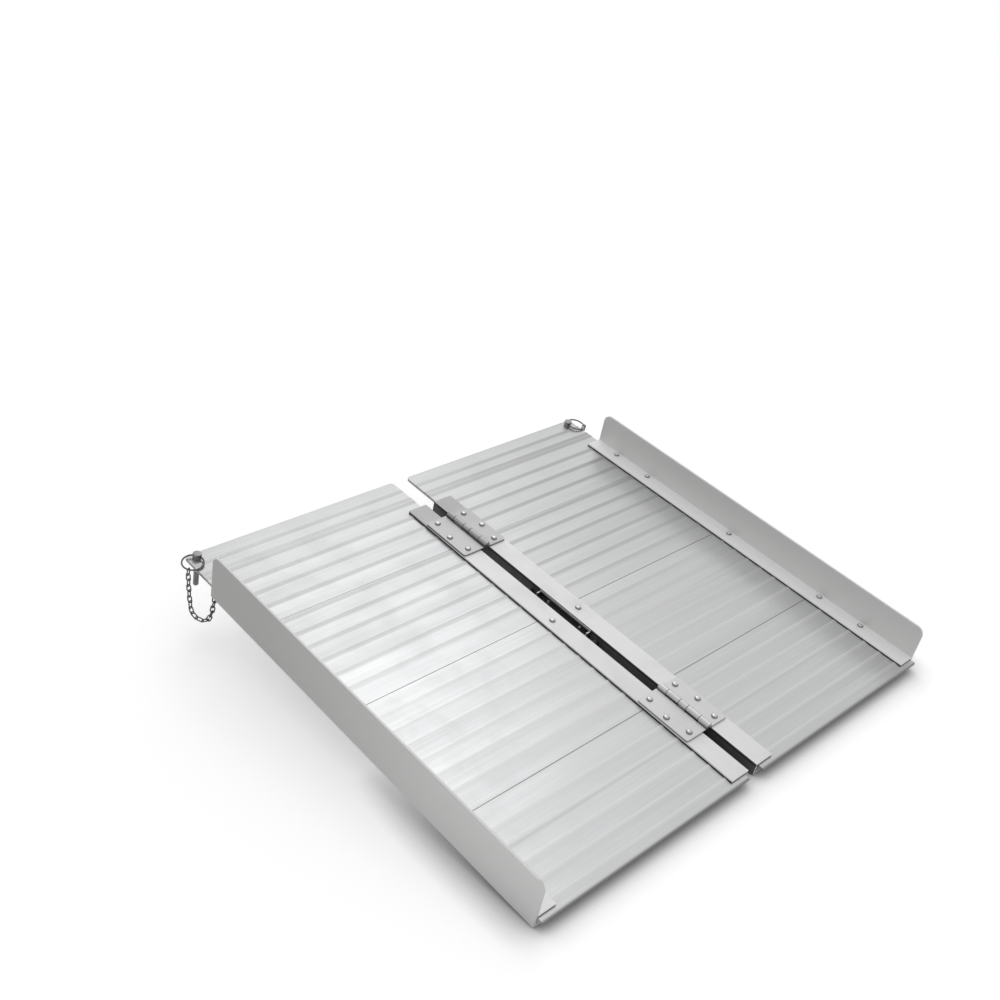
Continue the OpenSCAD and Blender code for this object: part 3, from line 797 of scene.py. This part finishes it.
def makeLinkTree():
    tree, given, out = startTree("linkRow", [
        ("Link Length", "NodeSocketFloat"), ("Link Width", "NodeSocketFloat"), ("Wire", "NodeSocketFloat"),
        ("Finish", "NodeSocketMaterial"),
    ])
    radius = product(tree, mathNode(tree, "SUBTRACT", given["Link Width"], given["Wire"]), 0.5)
    reach = product(tree, mathNode(tree, "SUBTRACT", given["Link Length"], given["Link Width"]), 0.5)
    loop = addNode(tree, "GeometryNodeCurvePrimitiveCircle", {"Resolution": 24, "Radius": radius}).outputs[0]
    place = addNode(tree, "GeometryNodeInputPosition").outputs[0]
    along = addNode(tree, "ShaderNodeSeparateXYZ", {0: place}).outputs["X"]
    shift = product(tree, mathNode(tree, "SIGN", along), reach)
    offset = addNode(tree, "ShaderNodeCombineXYZ", {"X": shift}).outputs[0]
    long = addNode(tree, "GeometryNodeSetPosition", {"Geometry": loop, "Offset": offset}).outputs[0]
    section = addNode(tree, "GeometryNodeCurvePrimitiveCircle", {
        "Resolution": 10, "Radius": product(tree, given["Wire"], 0.5),
    }).outputs[0]
    link = addNode(tree, "GeometryNodeCurveToMesh", {"Curve": long, "Profile Curve": section}).outputs[0]
    facing = namedValue(tree, "facing", "FLOAT_VECTOR")
    placed = addNode(tree, "GeometryNodeInstanceOnPoints", {
        "Points": given["Geometry"], "Instance": link, "Rotation": facing,
    }).outputs[0]
    endTree(tree, placed, given["Finish"], out)
    return tree


linkTree = makeLinkTree()


def linkPoints(side):
    sign = sides[side]
    mirror = Matrix.Diagonal((sign, 1, 1))
    turn = Matrix.Rotation(math.radians(chains["turn"]), 3, "Z")
    start = Vector((chains["start"][0], chains["start"][1], chains["deckTop"]))
    places, facings = [], []
    for number, (along, height, slope) in enumerate(chains["path"]):
        place = start + turn @ Vector((along, 0, height)) / 1000
        sloped = Matrix.Rotation(-math.radians(slope), 3, "Y")
        rolled = Matrix.Rotation(math.radians(number % 2 * 90), 3, "X")
        axes = mirror @ turn @ sloped @ rolled @ mirror   # the second mirror keeps a link right-handed
        places.append(mirror @ place)
        facings.append(tuple(axes.to_euler()))
    return pointMesh("linkPoints", places, {"facing": ("FLOAT_VECTOR", facings)})


def hangChain(side):
    name = "chain" + side.capitalize()
    mesh = runTree(name, linkTree, linkPoints(side), {
        "Link Length": chains["linkLength"], "Link Width": chains["linkWidth"], "Wire": chains["wire"],
        "Finish": chainMetal,
    })
    chain = dressPiece(name, mesh, None, chainMetal, ["chain_" + side], sharp=80)
    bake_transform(chain)


for side in sides:
    hangChain(side)
print("chains hung")


# Locking pins with their pull rings
pins = {
    "place": (0.351, 0.024, 0.0043),       # the middle of the head's foot, on the lip
    "headRadius": 0.0060,
    "headHeight": 0.008,
    "headEdge": 0.0012,
    "guideRadius": 0.00415,
    "guideLength": 0.0056,
    "shankRadius": 0.0038,
    "shankLength": 0.046,
    "flutes": 10,
    "fluteDepth": 0.00035,
    "fluteTop": -0.009,
    "holeHeight": 0.004,
    "holeRadius": 0.00245,
    "holeShift": 0.00045,
    "ringMiddle": 0.0142,                  # radius of the wire's middle line
    "ringWire": 0.0012,
    "ringTurn": -36,
    "ringTilt": 6,
}


def pinProfile():
    head, guide, shank = pins["headRadius"], pins["guideRadius"], pins["shankRadius"]
    top, low, edge = pins["headHeight"], -pins["shankLength"], pins["headEdge"]
    points = [(0, top), (head - 2 * edge, top)]
    for a in (0, 0.4, 0.8, 1.2, 1.57):         # a rounded edge, in radians
        points.append((head - edge + edge * math.sin(a), top - edge + edge * math.cos(a)))
    points += [(head, 0.0010), (head - 0.0003, 0.0003), (head - 0.0008, 0), (guide, 0)]
    points += [(guide, -pins["guideLength"]), (shank, -pins["guideLength"] - 0.0002)]
    points += [(shank, low * k / 12) for k in range(2, 12)]
    points += [(shank, low + 0.0022), (shank - 0.0006, low + 0.0010), (shank - 0.0018, low), (0, low)]
    return points


# The hole across the head, through which the ring passes
def holeCutter(side):
    bm = bmesh.new()
    radius, lying = pins["holeRadius"], Matrix.Rotation(math.pi / 2, 4, "X")
    bmesh.ops.create_cone(bm, cap_ends=True, segments=32, radius1=radius, radius2=radius, depth=0.03,
                          matrix=lying)
    bmesh.ops.translate(bm, verts=bm.verts, vec=(pins["holeShift"], 0, pins["holeHeight"]))
    turn = Matrix.Translation(Vector(pins["place"])) @ Matrix.Rotation(math.radians(pins["ringTurn"]), 4, "Z")
    bmesh.ops.transform(bm, matrix=Matrix.Diagonal((sides[side], 1, 1, 1)) @ turn, verts=bm.verts)
    bmesh.ops.recalc_face_normals(bm, faces=bm.faces)
    return linkObject("holeCutter", meshFrom(bm, "holeCutter"))


def cutHole(mesh, side):
    cutter, blank = holeCutter(side), linkObject("pinBlank", mesh)
    cut = blank.modifiers.new("cutHole", "BOOLEAN")
    cut.object, cut.operation, cut.solver = cutter, "DIFFERENCE", "EXACT"
    drilled = applyModifiers(blank)
    bpy.data.objects.remove(blank)
    bpy.data.objects.remove(cutter)
    return drilled


def makePin(side):
    bm = bmesh.new()
    lathe(bm, pinProfile(), 80, bottom=False)
    fluteTop, fluteLow = pins["fluteTop"], -pins["shankLength"] + 0.0005
    for vert in bm.verts:
        radius = math.hypot(vert.co.x, vert.co.y)
        if fluteLow < vert.co.z < fluteTop and radius > 0.003:
            angle = math.atan2(vert.co.y, vert.co.x)
            cut = pins["fluteDepth"] * max(0.0, math.cos(pins["flutes"] * angle)) ** 3
            vert.co.x *= 1 - cut / radius
            vert.co.y *= 1 - cut / radius
    place = Vector(pins["place"])
    place.x *= sides[side]
    bmesh.ops.translate(bm, verts=bm.verts, vec=place)
    bmesh.ops.recalc_face_normals(bm, faces=bm.faces)
    mesh = cutHole(meshFrom(bm, "pinBlank"), side)
    name = "pin" + side.capitalize()
    dressPiece(name, mesh, side + "_pin", pinMetal, ["pin_" + side], sharp=40)


def makeRing(side):
    bm = bmesh.new()
    steps, around, middle, wire = 72, 14, pins["ringMiddle"], pins["ringWire"]
    rows = []
    for k in range(steps):
        a = 2 * math.pi * k / steps
        out = Vector((math.cos(a), math.sin(a), 0))
        centre = Vector((middle + middle * math.cos(a), middle * math.sin(a), 0))
        rows.append([bm.verts.new(centre + out * wire * math.cos(b) + Vector((0, 0, wire * math.sin(b))))
                     for b in [2 * math.pi * j / around for j in range(around)]])
    for row, following in zip(rows, rows[1:] + rows[:1]):
        for j in range(around):
            k = (j + 1) % around
            bm.faces.new((row[j], following[j], following[k], row[k]))
    turn = Matrix.Rotation(math.radians(pins["ringTurn"]), 4, "Z")
    tilt = Matrix.Rotation(math.radians(pins["ringTilt"]), 4, "Y")
    place = Matrix.Translation(Vector(pins["place"]) + Vector((0, 0, pins["holeHeight"])))
    mirror = Matrix.Diagonal((sides[side], 1, 1, 1))
    bmesh.ops.transform(bm, matrix=mirror @ place @ turn @ tilt, verts=bm.verts)
    bmesh.ops.recalc_face_normals(bm, faces=bm.faces)
    name = "ring" + side.capitalize()
    dressPiece(name, meshFrom(bm, name), side + "_pin", chainMetal, ["ring_" + side], sharp=60)


for side in sides:
    makePin(side)
    makeRing(side)
print("pins and rings made")


# Handle: a moulded bow, rounded all along, with a parting line and fine ribs under the fingers
grip = {
    "length": 0.138,
    "depth": 0.044,                        # from the pivot to the outer edge
    "width": 0.012,
    "thickness": 0.011,
    "corner": 0.0115,                      # of the middle line
    "dip": 0.0011,
    "round": 0.55,                         # how square the section is: 1 would be an ellipse
    "steps": 28,                           # points around the section
    "armStep": 0.002,                      # between two sections of an arm
    "cornerSteps": 12,
    "smoothSteps": 4,                      # of those, the ones above the ribs
    "ribs": 34,
    "ribDepth": 0.00035,
    "ribFrom": 0.35,                       # share of the section's inner half that the ribs leave free
    "partingDepth": 0.00025,
    "capAngles": (1.45, 1.2, 0.9, 0.6, 0.3),
}


def gripPath():
    half = (grip["length"] - grip["width"]) / 2
    low, corner = -grip["depth"] + grip["width"] / 2, grip["corner"]
    armSections = int((-low - corner) / grip["armStep"])
    path = [(half, -k * grip["armStep"], True) for k in range(armSections)]
    for k in range(grip["cornerSteps"] + 1):
        a = math.pi / 2 * k / grip["cornerSteps"]
        plain = k < grip["smoothSteps"]
        path.append((half - corner + corner * math.cos(a), low + corner - corner * math.sin(a), plain))
    count = 4 * grip["ribs"]                   # every fourth section is a groove
    for k in range(1, count):
        share = k / count
        y = (half - corner) * (1 - 2 * share)
        path.append((y, low - grip["dip"] * math.sin(math.pi * share) ** 0.7, False))
    return path + [(-y, z, plain) for y, z, plain in reversed(path[:len(path) - count + 1])]


def makeGrip():
    middle, pivotZ = (rodBox[0].y + rodBox[1].y) / 2, (rodBox[0].z + rodBox[1].z) / 2
    path, steps, end = gripPath(), grip["steps"], grip["width"] / 2
    caps = [(path[0][0], end * math.sin(a), math.cos(a)) for a in grip["capAngles"]]
    rows = [(y, z, share, "cap") for y, z, share in caps]
    rows += [(y, z, 1.0, "plain" if plain else "ribbed") for y, z, plain in path]
    rows += [(-y, z, share, "cap") for y, z, share in reversed(caps)]
    bm = bmesh.new()
    rings = []
    for number, (y, z, share, kind) in enumerate(rows):
        before, after = rows[max(number - 1, 0)], rows[min(number + 1, len(rows) - 1)]
        along = Vector((0, after[0] - before[0], after[1] - before[1])).normalized()
        if kind == "cap":
            along = Vector((0, 0, -1 if y > 0 else 1))
        out = Vector((0, -along.z, along.y))
        inward = -out if out.dot(Vector((0, y, z + grip["depth"] / 2))) > 0 else out
        wide, thick = grip["width"] / 2 * share, grip["thickness"] / 2 * (0.8 + 0.2 * share)
        ring = []
        for k in range(steps):
            a = 2 * math.pi * k / steps
            across, sideways = math.cos(a), math.sin(a)
            across = math.copysign(abs(across) ** grip["round"], across)
            sideways = math.copysign(abs(sideways) ** grip["round"], sideways)
            reach = wide * across
            if k in (0, steps // 2):
                reach -= math.copysign(grip["partingDepth"], across)
            if kind == "ribbed" and across > grip["ribFrom"] and number % 4 == 0:
                reach -= grip["ribDepth"]
            place = Vector((0, middle + y, pivotZ + z)) + inward * reach + Vector((thick * sideways, 0, 0))
            ring.append(bm.verts.new(place))
        rings.append(ring)
    for first, second in zip(rings, rings[1:]):
        for k in range(steps):
            bm.faces.new((first[k], first[(k + 1) % steps], second[(k + 1) % steps], second[k]))
    bm.faces.new(rings[0])
    bm.faces.new(rings[-1])
    bmesh.ops.recalc_face_normals(bm, faces=bm.faces)
    mesh = meshFrom(bm, "gripMoulded")
    dressPiece("gripMoulded", mesh, "handle", gripPlastic, ["handle_grip"], sharp=62)


makeGrip()
print("handle made")


# Floor, tilted as the ramp stands in the photograph: the nose touches it and the lips are held up
stand = {
    "noseY": -0.655,                       # the line where the nose touches the floor
    "noseZ": -0.0105,
    "lipY": 0.035,                         # and the floor's height under the lips
    "lipDrop": -0.112,
    "size": 44.0,
    "glow": 0.38,                          # lifts the paper towards white
    "inMetal": 0.25,                       # share of the glow that the metal mirrors
    "shadowReach": 0.045,                  # how far the dark line under the ramp spreads
    "shadowDepth": 1.6,
    "grey": (0.88, 0.88, 0.885, 1),
    "shaded": (0.30, 0.30, 0.305, 1),
}


# Camera and transmission rays see a glow in full, reflections only a share of it
def seenShare(tree, inMetal):
    ray = addNode(tree, "ShaderNodeLightPath").outputs
    seen = mathNode(tree, "MAXIMUM", ray["Is Camera Ray"], ray["Is Transmission Ray"])
    return mathNode(tree, "MAXIMUM", seen, mathNode(tree, "MULTIPLY", ray["Is Glossy Ray"], inMetal))


def makeFloor():
    bm = bmesh.new()
    slope = math.atan2(stand["lipDrop"] - stand["noseZ"], stand["lipY"] - stand["noseY"])
    bmesh.ops.create_grid(bm, x_segments=2, y_segments=2, size=stand["size"] / 2)
    turn = Matrix.Translation((0, stand["noseY"], stand["noseZ"])) @ Matrix.Rotation(slope, 4, "X")
    bmesh.ops.transform(bm, matrix=turn, verts=bm.verts)
    material = bpy.data.materials.new("floorPaper")
    material.use_nodes = True
    tree = material.node_tree
    tree.nodes.remove(tree.nodes["Principled BSDF"])
    reach = {"Distance": stand["shadowReach"]}
    near = addNode(tree, "ShaderNodeAmbientOcclusion", reach, samples=8).outputs["AO"]
    near = mathNode(tree, "POWER", near, stand["shadowDepth"])
    strength = product(tree, seenShare(tree, stand["inMetal"]), stand["glow"], near)
    glow = addNode(tree, "ShaderNodeEmission", {"Strength": strength}).outputs[0]
    shade = mixColour(tree, near, stand["shaded"], stand["grey"])
    paper = addNode(tree, "ShaderNodeBsdfDiffuse", {"Color": shade}).outputs[0]
    both = addNode(tree, "ShaderNodeAddShader", {0: glow, 1: paper}).outputs[0]
    tree.links.new(both, tree.nodes["Material Output"].inputs["Surface"])
    floor = linkObject("floorPaper", meshFrom(bm, "floorPaper"))
    floor.data.materials.append(material)


makeFloor()


# Light: a soft box high behind on the right, and a pale room that is brighter on that side
softBox = {"place": (1.5, 1.6, 2.6), "size": 1.3, "power": 6.5}
room = {
    "brightSide": (0.35, 0.75, 0.56),
    "spread": (0.5, 1.0),                  # start and end of the brightness, by the cosine from that side
    "dim": 0.66,
    "bright": 1.06,
    "seen": 1.0,                           # what the camera sees of the room
    "inMetal": 0.15,                       # share of that which the metal mirrors
    "beam": (0.60, 0.74, 0.07),            # a dimmer band across the room, by the sine of its elevation
    "beamDim": 0.45,
}


def makeLamp():
    data = bpy.data.lights.new("softBox", "AREA")
    data.shape = "SQUARE"
    data.size = softBox["size"]
    data.energy = softBox["power"]
    lamp = linkObject("softBox", data)
    lamp.location = softBox["place"]
    lamp.rotation_mode = "QUATERNION"
    lamp.rotation_quaternion = (-Vector(softBox["place"])).to_track_quat("-Z", "Y")


def makeRoom():
    world = bpy.data.worlds.new("room")
    world.use_nodes = True
    bpy.context.scene.world = world
    tree = world.node_tree
    outward = addNode(tree, "ShaderNodeTexCoord").outputs["Generated"]
    facing = {0: outward, 1: room["brightSide"]}
    towards = addNode(tree, "ShaderNodeVectorMath", facing, operation="DOT_PRODUCT").outputs["Value"]
    lit = rampNode(tree, towards, *room["spread"])
    lit = addNode(tree, "ShaderNodeMapRange", {
        "Value": lit, "To Min": room["dim"], "To Max": room["bright"],
    }).outputs[0]
    height = addNode(tree, "ShaderNodeSeparateXYZ", {0: outward}).outputs["Z"]
    dimmer = mathNode(tree, "MULTIPLY", bandNode(tree, height, *room["beam"]), room["beamDim"])
    lit = mathNode(tree, "MULTIPLY", lit, mathNode(tree, "SUBTRACT", 1.0, dimmer))
    seen = seenShare(tree, room["inMetal"])
    mixed = {0: seen, 2: lit, 3: room["seen"]}
    strength = addNode(tree, "ShaderNodeMix", mixed, data_type="FLOAT").outputs[0]
    tree.links.new(strength, tree.nodes["Background"].inputs["Strength"])
    tree.nodes["Background"].inputs["Color"].default_value = (1, 1, 1, 1)


makeLamp()
makeRoom()
bpy.context.scene.view_settings.view_transform = "Standard"
print("floor and lights placed")
